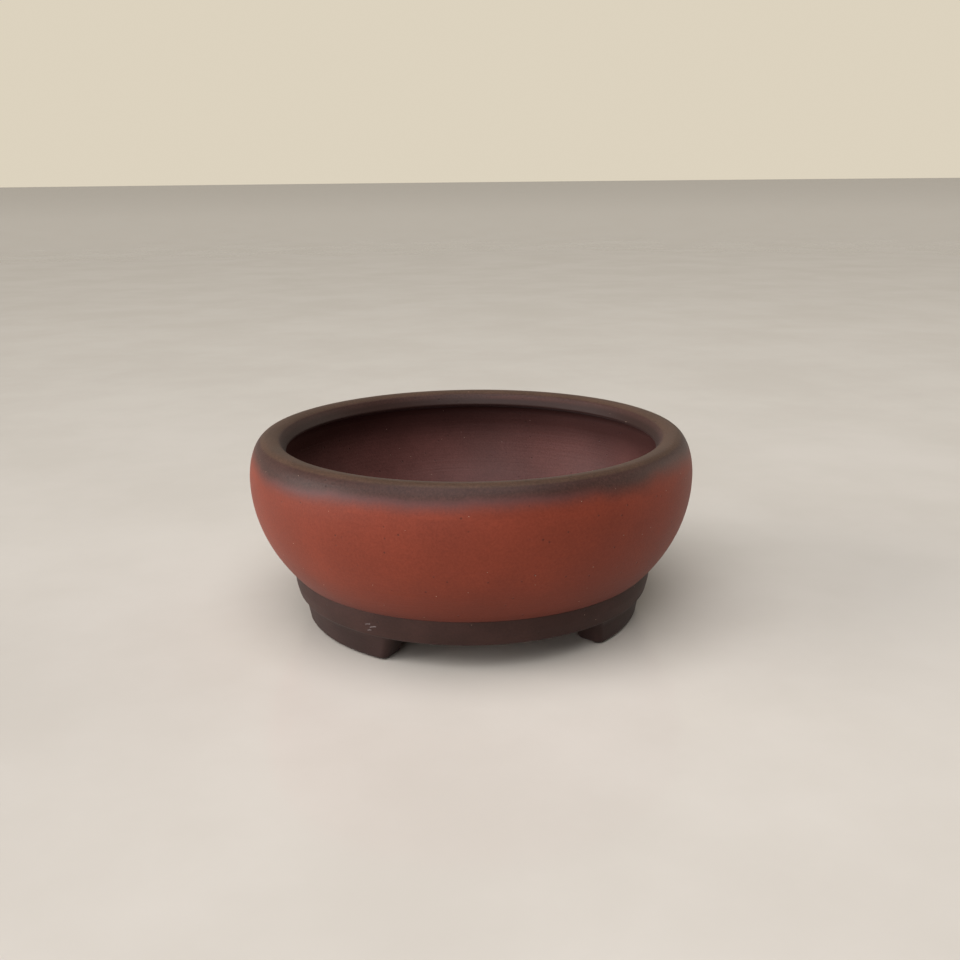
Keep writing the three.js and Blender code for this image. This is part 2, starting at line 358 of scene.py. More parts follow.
def grain_tree():
    """Sand grains, half sunk in a surface."""
    nodes, given, out = new_group(
        "Sand Grains", "GeometryNodeTree",
        [("Surface", "NodeSocketGeometry", None), ("Density", "NodeSocketFloat", 4000.0),
         ("Grain Size", "NodeSocketFloat", 0.13 * MM), ("Seed", "NodeSocketInt", 1),
         ("Material", "NodeSocketMaterial", None)],
        [("Geometry", "NodeSocketGeometry")])
    points = nodes.add(
        "GeometryNodeDistributePointsOnFaces",
        {"Mesh": given["Surface"], "Density": given["Density"], "Seed": given["Seed"]})
    grain = nodes.add("GeometryNodeMeshIcoSphere", {"Radius": 1.0, "Subdivisions": 2})
    stretch = nodes.add("FunctionNodeRandomValue", data_type="FLOAT_VECTOR")
    nodes.feed(stretch.inputs[0], (0.6, 0.6, 0.3))
    nodes.feed(stretch.inputs[1], (1.5, 1.2, 0.6))
    nodes.feed(stretch.inputs["Seed"], given["Seed"])
    size = nodes.scaled(stretch.outputs[0], given["Grain Size"])
    placed = nodes.add("GeometryNodeInstanceOnPoints", {
        "Points": points.outputs["Points"], "Instance": grain.outputs[0],
        "Rotation": points.outputs["Rotation"], "Scale": size})
    finish_tree(nodes, placed.outputs[0], given, out)


def finish_tree(nodes, geometry, given, out):
    """Ends a tree in smooth, real faces that have the clay on them."""
    real = nodes.add("GeometryNodeRealizeInstances", {0: geometry})
    smooth = nodes.add("GeometryNodeSetShadeSmooth", {0: real.outputs[0]})
    painted = nodes.add("GeometryNodeSetMaterial", {0: smooth.outputs[0], "Material": given["Material"]})
    nodes.feed(out["Geometry"], painted.outputs[0])


def shaped(name, mesh, tree_name, values):
    """Runs a Geometry Nodes tree on a mesh and keeps the result as a plain, closed mesh in a new object."""
    source = bpy.data.objects.new(name + "_source", mesh)
    bpy.context.scene.collection.objects.link(source)
    tree = bpy.data.node_groups[tree_name]
    modifier = source.modifiers.new(tree_name, "NODES")
    modifier.node_group = tree
    identifiers = {
        item.name: item.identifier for item in tree.interface.items_tree
        if item.item_type == "SOCKET" and item.in_out == "INPUT"}
    for label, value in values.items():
        modifier[identifiers[label]] = value
    evaluated = source.evaluated_get(bpy.context.evaluated_depsgraph_get())
    result = bpy.data.meshes.new_from_object(evaluated)
    bpy.data.objects.remove(source)
    result.name = name
    piece = bpy.data.objects.new(name, result)
    bpy.context.scene.collection.objects.link(piece)
    return piece


def face_outwards(mesh):
    """Turns every face outwards, and marks the edges that stay sharp under smooth shading."""
    work = bmesh.new()
    work.from_mesh(mesh)
    bmesh.ops.recalc_face_normals(work, faces=work.faces)
    work.to_mesh(mesh)
    work.free()
    mesh.set_sharp_from_angle(angle=SHARP_EDGE)


def hand_over(piece, slot_name, *nodes):
    """Gives a finished piece to the frame, in the place of its CAD nodes."""
    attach(piece, BODY)
    if nodes:
        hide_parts(*nodes)


# ---------------------------------------------------------------- outlines, as (radius, height) points

def arc(cx, cz, rx, rz, start, end, step=ARC_STEP):
    """Points of an elliptical arc, from one angle to another."""
    count = max(2, math.ceil(abs(end - start) / step))
    turns = (start + (end - start) * i / count for i in range(count + 1))
    return [(cx + rx * math.cos(a), cz + rz * math.sin(a)) for a in turns]


def fillet(before, corner, after, radius):
    """The rounded corner between two straight runs."""
    corner = Vector(corner)
    to_before = (Vector(before) - corner).normalized()
    to_after = (Vector(after) - corner).normalized()
    half = to_before.angle(to_after) / 2
    reach = radius / math.tan(half)
    centre = corner + (to_before + to_after).normalized() * radius / math.sin(half)
    start = corner + to_before * reach - centre
    end = corner + to_after * reach - centre
    sweep = start.angle_signed(end)
    count = max(3, math.ceil(abs(sweep) / ARC_STEP))
    return [tuple(centre + Matrix.Rotation(-sweep * i / count, 2) @ start) for i in range(count + 1)]


def divided(points, step):
    """The same run of points, with the long gaps filled."""
    full = [points[0]]
    for start, end in zip(points, points[1:]):
        gap = math.dist(start, end)
        count = max(1, math.ceil(gap / step))
        full += [tuple(Vector(start).lerp(Vector(end), i / count)) for i in range(1, count + 1)]
    return full


def bezier(corners, count):
    """A curve from the first corner to the last that is drawn towards those between."""
    curve = []
    for i in range(count + 1):
        points = corners
        while len(points) > 1:
            points = [a.lerp(b, i / count) for a, b in zip(points, points[1:])]
        curve.append(tuple(points[0]))
    return curve


def closed_outline(name, runs):
    """A mesh ring in the XZ plane from runs of points, each (points, longest gap). Its ends meet."""
    loop = []
    for points, step in runs:
        for point in divided(points, step):
            if not loop or math.dist(point, loop[-1]) > 1e-6:
                loop.append(point)
    if math.dist(loop[0], loop[-1]) < 1e-6:
        loop.pop()
    mesh = bpy.data.meshes.new(name)
    edges = [(i, (i + 1) % len(loop)) for i in range(len(loop))]
    mesh.from_pydata([(r, 0, z) for r, z in loop], edges, [])
    return mesh


class Belly:
    """The belly's curves: an ellipse below the widest point, and the shoulder's quarter ellipse above it."""

    def __init__(self, shape):
        self.z = shape.belly_z
        self.rz = shape.belly_drop
        self.foot_angle = math.asin((self.z - RING_TOP_Z) / self.rz)
        self.rx = (BELLY_R - RING_R) / (1 - math.cos(self.foot_angle))
        self.cx = BELLY_R - self.rx
        self.shoulder_rx = BELLY_R - shape.crown_r
        self.shoulder_rz = RIM_Z - self.z
        self.joint_angle = math.asin((LIP_JOINT_Z - self.z) / self.shoulder_rz)
        self.joint_r = shape.crown_r + self.shoulder_rx * math.cos(self.joint_angle)
        self.joint_inner_r = self.joint_r - shape.wall


COVE_FROM = 0.66  # how far down the inside curve the cove starts
COVE_BEND = 9.4 * MM  # how far the cove heads on down the wall's curve before it bends
COVE_LEVEL_RUN = 1.5 * MM  # how far in from that bend the cove is drawn level
COVE_TOE = 0.12 * MM  # the thickness of the cove's inner edge


def wall_outline(shape):
    belly = Belly(shape)
    fine = math.radians(0.9)
    outside = arc(belly.cx, belly.z, belly.rx, belly.rz, -belly.foot_angle, 0, fine)
    shoulder = arc(
        shape.crown_r, belly.z, belly.shoulder_rx, belly.shoulder_rz, 0, belly.joint_angle, math.radians(3))
    cove_angle = -belly.foot_angle * COVE_FROM
    inside = arc(belly.cx, belly.z, belly.rx - shape.wall, belly.rz - shape.wall, 0, cove_angle, fine)
    cove_top = Vector(inside[-1])
    heading = (cove_top - Vector(inside[-2])).normalized()
    bend = cove_top + heading * COVE_BEND
    toe = Vector((cove_top.x - shape.cove, RING_TOP_Z + COVE_TOE))
    level_run = Vector((bend.x - COVE_LEVEL_RUN, toe.y)).lerp(toe, 1 / 3)
    cove = bezier([cove_top, bend, level_run, toe], 30)
    return closed_outline("belly_wall_outline", [
        ([(toe.x, RING_TOP_Z), outside[0]], HIDDEN_STEP),
        ([*outside, *shoulder[1:]], FINE_STEP),
        ([shoulder[-1], (belly.joint_inner_r, LIP_JOINT_Z)], HIDDEN_STEP),
        ([(belly.joint_inner_r, LIP_JOINT_Z), *inside], INSIDE_STEP),
        (cove, INSIDE_STEP),
        ([cove[-1], (toe.x, RING_TOP_Z)], FINE_STEP),
    ])


def lip_outline(shape):
    belly = Belly(shape)
    shoulder = arc(
        shape.crown_r, belly.z, belly.shoulder_rx, belly.shoulder_rz, belly.joint_angle, math.pi / 2,
        math.radians(2.5))
    # The top dips gently to the mouth's edge, and the mouth's face falls steeply from there.
    dip_rx = 7.0 * MM
    dip_rz = 5.0 * MM
    dip = arc(
        shape.crown_r, RIM_Z - dip_rz, dip_rx, dip_rz, math.pi / 2, math.radians(126.5), math.radians(3))
    edge = dip.pop()
    nose = (shape.mouth_r - 0.1 * MM, RIM_Z - 5.0 * MM)
    under = (shape.mouth_r + 2.9 * MM, RIM_Z - 6.1 * MM)
    undercut_rz = under[1] - LIP_JOINT_Z
    undercut = arc(under[0], LIP_JOINT_Z, belly.joint_inner_r - under[0], undercut_rz, math.pi / 2, 0)
    return closed_outline("rolled_lip_outline", [
        ([*shoulder, *dip[1:], *fillet(dip[-1], edge, nose, 1.0 * MM)], FINE_STEP),
        (fillet(edge, nose, under, 0.8 * MM), FINE_STEP),
        (undercut, FINE_STEP),
        ([(belly.joint_inner_r, LIP_JOINT_Z), shoulder[0]], HIDDEN_STEP),
    ])


def ring_outline():
    inner_r = SLAB_R + 0.3 * MM
    low_r = RING_R - 1.4 * MM
    waist = (RING_R - 0.35 * MM, (RING_TOP_Z + RING_LOW_Z) / 2)
    top = (RING_R, RING_TOP_Z)
    low = (low_r, RING_LOW_Z)
    return closed_outline("base_ring_outline", [
        ([(inner_r, RING_LOW_Z), (low_r - 2 * MM, RING_LOW_Z)], HIDDEN_STEP),
        (fillet((inner_r, RING_LOW_Z), low, waist, 1.3 * MM), FINE_STEP),
        (fillet(low, waist, top, 9 * MM), FINE_STEP),
        (fillet(waist, top, (inner_r, RING_TOP_Z), 0.25 * MM), FINE_STEP),
        ([(RING_R - 2 * MM, RING_TOP_Z), (inner_r, RING_TOP_Z)], HIDDEN_STEP),
        ([(inner_r, RING_TOP_Z), (inner_r, RING_LOW_Z)], HIDDEN_STEP),
    ])


# ---------------------------------------------------------------- the floor slab, as a mesh

HOLE_EDGE = 0.9 * MM  # rounding of the holes' edges
NET_SPACING = 2.0 * MM
SLAB_FACETS = 240
DRAIN_FACETS = 96
WIRE_FACETS = 40
WIRE_HOLES = 4


def floor_mesh(shape):
    """A disc with rounded holes. Its top and bottom are nets of points, joined round every edge."""
    holes = [(0.0, 0.0, shape.drain_r, DRAIN_FACETS)]
    for i in range(WIRE_HOLES):
        a = math.tau * (i + 0.5) / WIRE_HOLES
        x = shape.wire_circle * math.cos(a)
        y = shape.wire_circle * math.sin(a)
        holes.append((x, y, shape.wire_r, WIRE_FACETS))
    rims = [(0.0, 0.0, SLAB_R, SLAB_FACETS, 0.0)] + [(*hole, HOLE_EDGE) for hole in holes]
    points, faces = floor_net(holes)
    work = bmesh.new()
    for level, sign in ((RING_TOP_Z, 1), (SLAB_LOW_Z, -1)):
        verts = [work.verts.new((x, y, level)) for x, y in points]
        for face in faces:
            work.faces.new([verts[i] for i in face[::sign]])
    for x, y, r, count, round_by in rims:
        add_rim(work, x, y, r, count, round_by)
    bmesh.ops.remove_doubles(work, verts=work.verts, dist=1e-6)
    bmesh.ops.recalc_face_normals(work, faces=work.faces)
    mesh = bpy.data.meshes.new("floor_slab")
    work.to_mesh(mesh)
    work.free()
    for polygon in mesh.polygons:
        polygon.use_smooth = True
    mesh.set_sharp_from_angle(angle=SHARP_EDGE)
    return mesh


def circle(x, y, r, count):
    return [(x + r * math.cos(math.tau * i / count), y + r * math.sin(math.tau * i / count))
            for i in range(count)]


def floor_net(holes):
    """Points and faces of the flat net between the slab's edge and the rounded edges of its holes."""
    points = circle(0, 0, SLAB_R, SLAB_FACETS)
    loops = [list(range(len(points)))]
    for x, y, r, count in holes:
        start = len(points)
        points += circle(x, y, r + HOLE_EDGE, count)
        loops.append(list(range(start, len(points))))
    clearance = HOLE_EDGE + NET_SPACING / 2
    for k in range(1, int(SLAB_R / NET_SPACING)):
        radius = k * NET_SPACING
        if radius >= SLAB_R - NET_SPACING / 2:
            break
        for point in circle(0, 0, radius, max(8, round(math.tau * radius / NET_SPACING))):
            if all(math.dist(point, (x, y)) > r + clearance for x, y, r, _ in holes):
                points.append(point)
    edges = [(loop[i], loop[(i + 1) % len(loop)]) for loop in loops for i in range(len(loop))]
    verts, _, faces, *_ = delaunay_2d_cdt([Vector(p) for p in points], edges, [], 0, 1e-7)
    kept = []
    for face in faces:
        middle = sum((verts[i] for i in face), Vector((0, 0))) / len(face)
        if all(math.dist(middle, (x, y)) > r + HOLE_EDGE * 0.98 for x, y, r, _ in holes):
            kept.append(face)
    return verts, kept


def add_rim(work, x, y, r, count, round_by):
    """Joins the top to the bottom round the slab's edge or a hole, with rounded corners at a hole."""
    if round_by:
        steps = 6
        quarter = [math.pi / 2 * i / steps for i in range(steps + 1)]
        top = [(r + round_by - round_by * math.sin(a), RING_TOP_Z - round_by + round_by * math.cos(a))
               for a in quarter]
        bottom = [(radius, RING_TOP_Z + SLAB_LOW_Z - z) for radius, z in reversed(top)]
        levels = top + bottom
    else:
        levels = [(r, RING_TOP_Z), (r, SLAB_LOW_Z)]
    rows = [[work.verts.new((px, py, z)) for px, py in circle(x, y, radius, count)] for radius, z in levels]
    for upper, lower in zip(rows, rows[1:]):
        for i in range(count):
            j = (i + 1) % count
            work.faces.new((upper[i], upper[j], lower[j], lower[i]))


# ---------------------------------------------------------------- shader groups that the clays share

# Where the smoke hangs lower (depth above 0) or the red rises (below 0): degrees round from the pot's
# front, half width in degrees, and depth in millimetres.
SMOKE_RUNS = (
    (-150, 34, 1.4), (-90, 22, -0.5), (-60, 20, 1.9), (-30, 22, 0.7), (31, 10, 0.9), (48, 14, -0.7),
    (100, 30, 1.5), (150, 26, -1.3))


def from_front(turn):
    """The level direction that lies this far round from the pot's front, in radians."""
    return (math.sin(turn), -math.cos(turn), 0.0)


def clay_grain_group():
    """The body of the clay: cloudy colour, fine grain, and small pits."""
    nodes, given, out = new_group(
        "Clay Grain", "ShaderNodeTree",
        [("Place", "NodeSocketVector", None), ("Grain Scale", "NodeSocketFloat", 1400.0),
         ("Cloud Scale", "NodeSocketFloat", 45.0), ("Pit Scale", "NodeSocketFloat", 520.0),
         ("Pit Share", "NodeSocketFloat", 0.12), ("Pit Depth", "NodeSocketFloat", 1.6)],
        [("Cloud", "NodeSocketFloat"), ("Grain", "NodeSocketFloat"), ("Pits", "NodeSocketFloat"),
         ("Height", "NodeSocketFloat")])
    cloud = nodes.noise(given["Place"], given["Cloud Scale"], detail=4.0, rough=0.55)
    grain = nodes.noise(given["Place"], given["Grain Scale"], detail=4.0, rough=0.65)
    cells = nodes.add("ShaderNodeTexVoronoi", {"Vector": given["Place"], "Scale": given["Pit Scale"]})
    chosen = nodes.math("LESS_THAN", nodes.parts(cells.outputs["Color"])[0], given["Pit Share"])
    dimple = nodes.ease(cells.outputs["Distance"], 0.26, 0.05)
    pits = nodes.math("MULTIPLY", dimple, chosen)
    body = nodes.math("SUBTRACT", grain, 0.5)
    height = nodes.math("SUBTRACT", body, nodes.math("MULTIPLY", pits, given["Pit Depth"]))
    for name, value in (("Cloud", cloud), ("Grain", grain), ("Pits", pits), ("Height", height)):
        nodes.feed(out[name], value)


def turning_lines_group():
    """Fine level lines that the potter's rib and sponge leave on the wheel, broken up along their length."""
    nodes, given, out = new_group(
        "Turning Lines", "ShaderNodeTree",
        [("Place", "NodeSocketVector", None), ("Spacing", "NodeSocketFloat", 0.7 * MM),
         ("Break Scale", "NodeSocketFloat", 26.0), ("Wander Scale", "NodeSocketFloat", 30.0),
         ("Wander", "NodeSocketFloat", 2.2)],
        [("Lines", "NodeSocketFloat")])
    x, y, z = nodes.parts(given["Place"])
    height = nodes.math("DIVIDE", z, given["Spacing"])
    wander = nodes.math("MULTIPLY", nodes.noise(given["Place"], given["Wander Scale"]), given["Wander"])
    place = nodes.xyz(
        nodes.math("MULTIPLY", x, given["Break Scale"]), nodes.math("MULTIPLY", y, given["Break Scale"]),
        nodes.math("ADD", height, wander))
    nodes.feed(out["Lines"], nodes.noise(place, 1.0, detail=3.0, rough=0.6))


def smoke_veil_group():
    """Smoke that lies above a level and thins out below it. The level runs up and down round the pot."""
    nodes, given, out = new_group(
        "Smoke Veil", "ShaderNodeTree",
        [("Place", "NodeSocketVector", None), ("Level", "NodeSocketFloat", SMOKE_LEVEL),
         ("Softness", "NodeSocketFloat", 6.8 * MM), ("Wander", "NodeSocketFloat", 1.4 * MM),
         ("Ragged Edge", "NodeSocketFloat", 1.6 * MM), ("Runs", "NodeSocketFloat", 1.0)],
        [("Smoke", "NodeSocketFloat")])
    x, y, z = nodes.parts(given["Place"])
    flat = nodes.vector("NORMALIZE", nodes.xyz(x, y, 0.0))
    slow = nodes.math("SUBTRACT", nodes.noise(flat, 1.6, detail=3.0), 0.5)
    quick = nodes.math("SUBTRACT", nodes.noise(given["Place"], 150.0, detail=4.0, rough=0.6), 0.5)
    level = nodes.math("ADD", given["Level"], nodes.math("MULTIPLY", slow, given["Wander"]))
    level = nodes.math("ADD", level, nodes.math("MULTIPLY", quick, given["Ragged Edge"]))
    for turn, half_width, depth in SMOKE_RUNS:
        towards = nodes.vector("DOT_PRODUCT", flat, from_front(math.radians(turn)))
        share = nodes.ease(towards, math.cos(math.radians(half_width)), 1.0)
        drop = nodes.math("MULTIPLY", nodes.math("MULTIPLY", share, depth * MM), given["Runs"])
        level = nodes.math("SUBTRACT", level, drop)
    half = nodes.math("MULTIPLY", given["Softness"], 0.5)
    low = nodes.math("SUBTRACT", level, half)
    high = nodes.math("ADD", level, half)
    nodes.feed(out["Smoke"], nodes.ease(z, low, high))


# ---------------------------------------------------------------- the clays

GRAIN_CONTRAST = 0.24
SMOKED_GRAIN_CONTRAST = 0.55
BUMP_DEPTH = 0.05 * MM
PIT_DARKNESS = 0.55
PIT_COLOUR = (0.02, 0.012, 0.01, 1.0)


def start_clay(name):
    material = bpy.data.materials.new(name)
    material.use_nodes = True
    material.node_tree.nodes.clear()
    nodes = Nodes(material.node_tree)
    place = nodes.add("ShaderNodeTexCoord").outputs["Object"]
    return material, nodes, place


def end_clay(nodes, colour, roughness, height, depth):
    """The shader of a fired clay: satin, with the grain and the turning lines in its surface."""
    bump = nodes.add("ShaderNodeBump", {"Height": height, "Distance": depth, "Strength": 1.0})
    shader = nodes.add("ShaderNodeBsdfPrincipled", {
        "Base Color": colour, "Roughness": roughness, "Normal": bump.outputs[0],
        "IOR": 1.5, "Specular IOR Level": 0.15, "Sheen Weight": 0.04, "Sheen Roughness": 0.45,
        "Sheen Tint": (1.0, 0.93, 0.88, 1.0)})
    output = nodes.add("ShaderNodeOutputMaterial")
    nodes.feed(output.inputs["Surface"], shader.outputs[0])


def clouded(nodes, grain, dark, bright, contrast=GRAIN_CONTRAST):
    """A clay colour that drifts between two tones, with fine grain in it."""
    drift = nodes.ease(grain["Cloud"], 0.35, 0.65)
    colour = nodes.blend(drift, dark, bright)
    speckle = nodes.ease(grain["Grain"], 0.25, 0.75)
    value = nodes.math("ADD", 1.0 - contrast / 2, nodes.math("MULTIPLY", speckle, contrast))
    return nodes.blend(1.0, colour, nodes.xyz(value, value, value), "MULTIPLY")


def darkened_in_pits(nodes, grain, colour):
    return nodes.blend(nodes.math("MULTIPLY", grain["Pits"], PIT_DARKNESS), colour, PIT_COLOUR)


def inside_share(nodes, place, shape):
    """1 on the inside of the wall and 0 on the outside, by which side of the wall's middle a point is on."""
    belly = Belly(shape)
    x, y, z = nodes.parts(place)
    radius = nodes.vector("LENGTH", nodes.xyz(x, y, 0.0))
    across = nodes.math("DIVIDE", nodes.math("SUBTRACT", radius, belly.cx), belly.rx - shape.wall / 2)
    up = nodes.math("DIVIDE", nodes.math("SUBTRACT", z, belly.z), belly.rz - shape.wall / 2)
    away = nodes.math("ADD", nodes.math("POWER", across, 2.0), nodes.math("POWER", up, 2.0))
    return nodes.ease(away, 1.03, 0.97)


def smoked_roughness(nodes, grain, smoke):
    """Smoke closes the clay's skin, so it is smoother there."""
    bare = nodes.math("ADD", 0.50, nodes.math("MULTIPLY", grain["Cloud"], 0.14))
    return nodes.math("SUBTRACT", bare, nodes.math("MULTIPLY", smoke, 0.12))


def surface_height(nodes, grain, lines, line_share):
    """The clay's relief: its grain and pits, and this share of the turning lines."""
    raised = nodes.math("MULTIPLY", nodes.math("SUBTRACT", lines, 0.5), line_share)
    return nodes.math("ADD", grain["Height"], raised)


def red_clay(shape, finish):
    """The belly: red where the flame reached it, darker towards the ring with painted shade, and wine brown
    inside, with painted shade under the lip.
    """
    material, nodes, place = start_clay("fired_red_clay")
    grain = place_group(nodes, "Clay Grain", {"Place": place, "Pit Share": 0.10})
    lines = place_group(nodes, "Turning Lines", {"Place": place, "Spacing": 0.8 * MM})["Lines"]
    height = nodes.parts(place)[2]
    outside = clouded(nodes, grain, rgba(finish.red), rgba(finish.red_bright))
    # Painted shade: the belly is darker towards the ring, where less light from above reaches it.
    low_shade = nodes.ease(height, RING_TOP_Z + LOW_SHADE_HEIGHT, RING_TOP_Z + 1 * MM)
    outside = nodes.blend(nodes.math("MULTIPLY", low_shade, 0.5), outside, rgba(finish.red, 0.62))
    bare_foot = place_group(nodes, "Smoke Veil", {
        "Place": place, "Level": RING_TOP_Z - 1.6 * MM, "Softness": 11 * MM, "Wander": 1.6 * MM,
        "Runs": 0.0})["Smoke"]
    outside = nodes.blend(bare_foot, rgba(finish.dark), outside)
    upper = place_group(nodes, "Smoke Veil", {"Place": place})["Smoke"]
    outside = nodes.blend(upper, outside, rgba(finish.soot))

    inside = clouded(nodes, grain, rgba(finish.wine), rgba(finish.wine, 1.25))
    # Painted shade: the inside of the wall is darker up under the lip's overhang.
    under_lip_shade = nodes.math("MULTIPLY", nodes.ease(height, *UNDER_LIP_SHADE_RUN), 0.7)
    inside = nodes.blend(under_lip_shade, inside, rgba(finish.wine, 0.35))
    share = inside_share(nodes, place, shape)
    colour = darkened_in_pits(nodes, grain, nodes.blend(share, outside, inside))
    rough = smoked_roughness(nodes, grain, nodes.math("MAXIMUM", upper, share))
    line_share = nodes.math("ADD", 0.9, nodes.math("MULTIPLY", share, 0.4))
    end_clay(nodes, colour, rough, surface_height(nodes, grain, lines, line_share), BUMP_DEPTH)
    return material


def smoked_clay(finish):
    """The lip: grey-brown smoke on top, lighter there partly with painted skylight, a painted bluish sky
    reflection on one side below the top, red showing through below the smoke, and painted shade on the
    mouth's face and under the lip.
    """
    material, nodes, place = start_clay("smoked_lip_clay")
    grain = place_group(nodes, "Clay Grain", {"Place": place, "Cloud Scale": 60.0})
    lines = place_group(nodes, "Turning Lines", {"Place": place, "Spacing": 0.6 * MM})["Lines"]
    x, y, height = nodes.parts(place)
    flat = nodes.xyz(x, y, 0.0)
    radius = nodes.vector("LENGTH", flat)
    red = clouded(nodes, grain, rgba(finish.red), rgba(finish.red_bright))
    top = clouded(nodes, grain, rgba(finish.smoke), rgba(finish.smoke, 1.18), SMOKED_GRAIN_CONTRAST)
    soot = clouded(nodes, grain, rgba(finish.soot), rgba(finish.soot, 1.18), SMOKED_GRAIN_CONTRAST)
    # The lighter top is partly the smoke's colour and partly painted skylight.
    smoke = nodes.blend(nodes.ease(height, *SOOT_TO_LIT_TOP), soot, top)
    veil = place_group(nodes, "Smoke Veil", {"Place": place})["Smoke"]
    # Painted sky reflection: a bluish sheen below the lip's top, on the side that faces the overhead light.
    above_sky_sheen = place_group(nodes, "Smoke Veil", {
        "Place": place, "Level": SKY_SHEEN_TOP, "Softness": 2.4 * MM})["Smoke"]
    towards = nodes.vector("DOT_PRODUCT", nodes.vector("NORMALIZE", flat), from_front(SKY_SHEEN_TURN))
    on_sheen_side = nodes.math("MULTIPLY", nodes.ease(towards, 0.55, 0.95), 0.85)
    sky_sheen_share = nodes.math("MULTIPLY", nodes.math("SUBTRACT", 1.0, above_sky_sheen), on_sheen_side)
    smoke = nodes.blend(sky_sheen_share, smoke, rgba(finish.sky_sheen))
    colour = nodes.blend(veil, red, smoke)
    # The mouth's face is sooty and darkened further with painted shade, and the painted shade is darkest at
    # the undercut.
    mouth_soot_and_shade = nodes.ease(radius, *MOUTH_SOOT_AND_SHADE_RUN)
    colour = nodes.blend(mouth_soot_and_shade, colour, rgba(finish.soot, 0.66))
    # Painted shade: the lip's underside, in the undercut, is darker.
    low = nodes.ease(height, *UNDERCUT_SHADE_RUN)
    inward = nodes.ease(radius, *UNDERCUT_SHADE_REACH)
    colour = nodes.blend(nodes.math("MULTIPLY", low, inward), colour, rgba(finish.wine, 0.5))
    colour = darkened_in_pits(nodes, grain, colour)
    rough = smoked_roughness(nodes, grain, veil)
    end_clay(nodes, colour, rough, surface_height(nodes, grain, lines, 0.9), BUMP_DEPTH)
    return material


FOOT_SHADE = (0.80, 0.86, 0.90, 1.0)  # what the feet's colour is next to the ring's
SCUFF_COLOUR = (0.20, 0.165, 0.165, 1.0)
SCUFF_TURN = math.radians(-38.5)  # round from the pot's front
SCUFF_Z = 12.5 * MM
SCUFF_SHAKE = 0.9  # how far the scratches waver, in millimetres
SCUFF_STROKES = (  # (along, up) of the two ends of each scratch, in millimetres from the scuff's middle
    ((-2.2, 1.0), (-0.7, 1.5)), ((-0.6, 0.3), (1.7, 1.0)), ((-1.7, -1.0), (-0.6, -0.7)))


def scuff_mask(nodes, place):
    """A small pale scuff on the front of the ring: a few short scratches, uneven along their length."""
    along_axis = (math.cos(SCUFF_TURN) / MM, math.sin(SCUFF_TURN) / MM, 0.0)
    along = nodes.vector("DOT_PRODUCT", place, along_axis)
    up = nodes.math("DIVIDE", nodes.math("SUBTRACT", nodes.parts(place)[2], SCUFF_Z), MM)
    shake = nodes.add("ShaderNodeTexNoise", {"Vector": place, "Scale": 700.0}).outputs["Color"]
    shake = nodes.vector("MULTIPLY", shake, (SCUFF_SHAKE, SCUFF_SHAKE, 0.0))
    point = nodes.vector("ADD", nodes.xyz(along, up, 0.0), shake)
    mean_shake = Vector((SCUFF_SHAKE / 2, SCUFF_SHAKE / 2, 0.0))
    distances = []
    for start, end in SCUFF_STROKES:
        run = Vector((*end, 0.0)) - Vector((*start, 0.0))
        from_start = nodes.vector("SUBTRACT", point, Vector((*start, 0.0)) + mean_shake)
        share = nodes.vector("DOT_PRODUCT", from_start, run / run.length_squared)
        share = nodes.add("ShaderNodeClamp", {"Value": share}).outputs[0]
        across = nodes.vector("SUBTRACT", from_start, nodes.scaled(run, share))
        distances.append(nodes.vector("LENGTH", across))
    nearest = distances[0]
    for distance in distances[1:]:
        nearest = nodes.math("MINIMUM", nearest, distance)
    mark = nodes.ease(nearest, 0.24, 0.06)
    strength = nodes.ease(nodes.noise(place, 1100.0), 0.30, 0.62)
    ahead = nodes.vector("DOT_PRODUCT", place, from_front(SCUFF_TURN))
    on_the_front = nodes.math("GREATER_THAN", ahead, 0.05)
    return nodes.math("MULTIPLY", nodes.math("MULTIPLY", mark, strength), on_the_front)


def dark_clay(finish):
    """The base ring and feet: dark brown, with a pale scuff on the front of the ring."""
    material, nodes, place = start_clay("dark_base_clay")
    grain = place_group(nodes, "Clay Grain", {"Place": place, "Pit Share": 0.14, "Cloud Scale": 80.0})
    lines = place_group(nodes, "Turning Lines", {"Place": place, "Spacing": 0.6 * MM})["Lines"]
    colour = clouded(nodes, grain, rgba(finish.dark, 0.88), rgba(finish.dark, 1.14))
    height = nodes.parts(place)[2]
    footing = nodes.ease(height, RING_LOW_Z + 1.5 * MM, RING_LOW_Z - 2 * MM)
    colour = nodes.blend(footing, colour, nodes.blend(1.0, colour, FOOT_SHADE, "MULTIPLY"))
    colour = nodes.blend(scuff_mask(nodes, place), colour, SCUFF_COLOUR)
    colour = darkened_in_pits(nodes, grain, colour)
    rough = nodes.math("ADD", 0.56, nodes.math("MULTIPLY", grain["Cloud"], 0.16))
    end_clay(nodes, colour, rough, surface_height(nodes, grain, lines, 0.8), BUMP_DEPTH)
    return material


def sand_grain_clay(finish):
    """Pale sand: each grain has its own tone."""
    material, nodes, place = start_clay("pale_sand")
    tone = nodes.noise(place, 160.0)
    colour = nodes.blend(nodes.ease(tone, 0.3, 0.7), rgba(finish.sand, 0.5), rgba(finish.sand))
    rough = nodes.math("ADD", 0.5, nodes.math("MULTIPLY", tone, 0.2))
    end_clay(nodes, colour, rough, tone, 0.02 * MM)
    return material


def floor_material():
    """The pale, lightly polished surface that the pot stands on."""
    material, nodes, place = start_clay("pale_surface")
    cloud = nodes.noise(place, 9.0, detail=5.0, rough=0.6)
    colour = nodes.blend(nodes.ease(cloud, 0.3, 0.7), (0.60, 0.548, 0.49, 1.0), (0.645, 0.592, 0.535, 1.0))
    shader = nodes.add("ShaderNodeBsdfPrincipled", {"Base Color": colour, "Roughness": 0.12, "IOR": 1.45})
    output = nodes.add("ShaderNodeOutputMaterial")
    nodes.feed(output.inputs["Surface"], shader.outputs[0])
    return material


